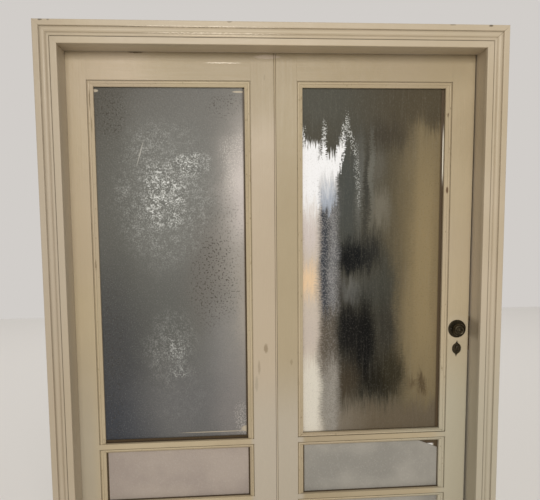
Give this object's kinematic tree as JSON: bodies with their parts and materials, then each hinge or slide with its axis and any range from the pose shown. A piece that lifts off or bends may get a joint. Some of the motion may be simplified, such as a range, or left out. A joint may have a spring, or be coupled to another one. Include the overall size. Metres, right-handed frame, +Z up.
{
  "type": "folding french doors with their frame",
  "caption": "Painted, glazed folding doors in a moulded frame, with a round knob, a mortise lock and flush bolts, without the wall.",
  "frame": {"origin": "on the floor, in the middle of the whole width and of the whole depth, knobs included", "axes": "+Z up; +Y away from the side that the picture shows, which is the way that the leaves open; +X to the right, towards the lock"},
  "size_m": [1.702, 0.193, 2.198],
  "materials": {
    "paint": "old cream gloss paint over wood, worn and dirty in the grooves",
    "obscure_glass": "rolled, textured glass",
    "dark_bronze": "dark, worn patina",
    "brass": "dull",
    "steel": "dull"
  },
  "bodies": {
    "frame": {"front_casing_left": "paint", "front_casing_right": "paint", "front_casing_head": "paint", "back_casing_left": "paint", "back_casing_right": "paint", "back_casing_head": "paint", "lining_left": "paint", "lining_right": "paint", "lining_head": "paint", "stop_left": "paint", "stop_head": "paint", "strike_plate": "brass", "bolt_keeper": "brass", "jamb_hinge_plates": "steel", "frame_screws": "steel"},
    "left_leaf": {"left_hinge_stile": "paint", "left_meeting_stile": "paint", "left_top_rail": "paint", "left_upper_bar": "paint", "left_lower_bar": "paint", "left_bottom_rail": "paint", "left_glass": "obscure_glass", "left_middle_panel": "obscure_glass", "left_lower_panel": "obscure_glass", "left_glass_beads": "paint", "left_middle_beads": "paint", "left_lower_beads": "paint", "left_leaf_hinge_plates": "steel", "hinge_pins": "steel", "bolt_plates": "brass", "left_leaf_screws": "steel"},
    "right_leaf": {"right_meeting_stile": "paint", "right_lock_stile": "paint", "right_top_rail": "paint", "right_upper_bar": "paint", "right_lower_bar": "paint", "right_bottom_rail": "paint", "right_glass": "obscure_glass", "right_middle_panel": "obscure_glass", "right_lower_panel": "obscure_glass", "right_glass_beads": "paint", "right_middle_beads": "paint", "right_lower_beads": "paint", "right_leaf_hinge_plates": "steel", "lock_case": "steel", "lock_faceplate": "brass", "front_rose": "dark_bronze", "back_rose": "dark_bronze", "front_escutcheon": "dark_bronze", "back_escutcheon": "dark_bronze", "right_leaf_screws": "steel"},
    "knob": {"front_knob": "dark_bronze", "back_knob": "dark_bronze", "spindle": "steel", "lock_follower": "steel"},
    "latch": {"latch_bolt": "brass"},
    "dead": {"dead_bolt": "brass"},
    "upper_flush_bolt": {"top_bolt": "brass"},
    "lower_flush_bolt": {"bottom_bolt": "brass"}
  },
  "joints": [
    {"name": "left_leaf_swing", "type": "hinge", "parent": "frame", "child": "left_leaf", "pos_m": [-0.7625, 0.0695, 1], "axis": [0, 0, 1], "range_deg": [0, 90]},
    {"name": "right_leaf_fold", "type": "hinge", "parent": "left_leaf", "child": "right_leaf", "pos_m": [0.001, 0.0695, 1], "axis": [0, 0, 1], "range_deg": [0, 170]},
    {"name": "knob_turn", "type": "hinge", "parent": "right_leaf", "child": "knob", "pos_m": [0.70652, 0.0425, 1.057], "axis": [0, 1, 0], "range_deg": [0, 45]},
    {"name": "latch_slide", "type": "slide", "parent": "right_leaf", "child": "latch", "axis": [1, 0, 0], "range_m": [0, 0.014]},
    {"name": "dead_bolt_slide", "type": "slide", "parent": "right_leaf", "child": "dead", "axis": [1, 0, 0], "range_m": [0, 0.02]},
    {"name": "top_bolt_slide", "type": "slide", "parent": "left_leaf", "child": "upper_flush_bolt", "axis": [0, 0, 1], "range_m": [0, 0.018]},
    {"name": "bottom_bolt_slide", "type": "slide", "parent": "left_leaf", "child": "lower_flush_bolt", "axis": [0, 0, -1], "range_m": [0, 0.018]}
  ],
  "couplings": [
    {"joint": "latch_slide", "follows": "knob_turn", "m_per_rad": 0.017825}
  ]
}
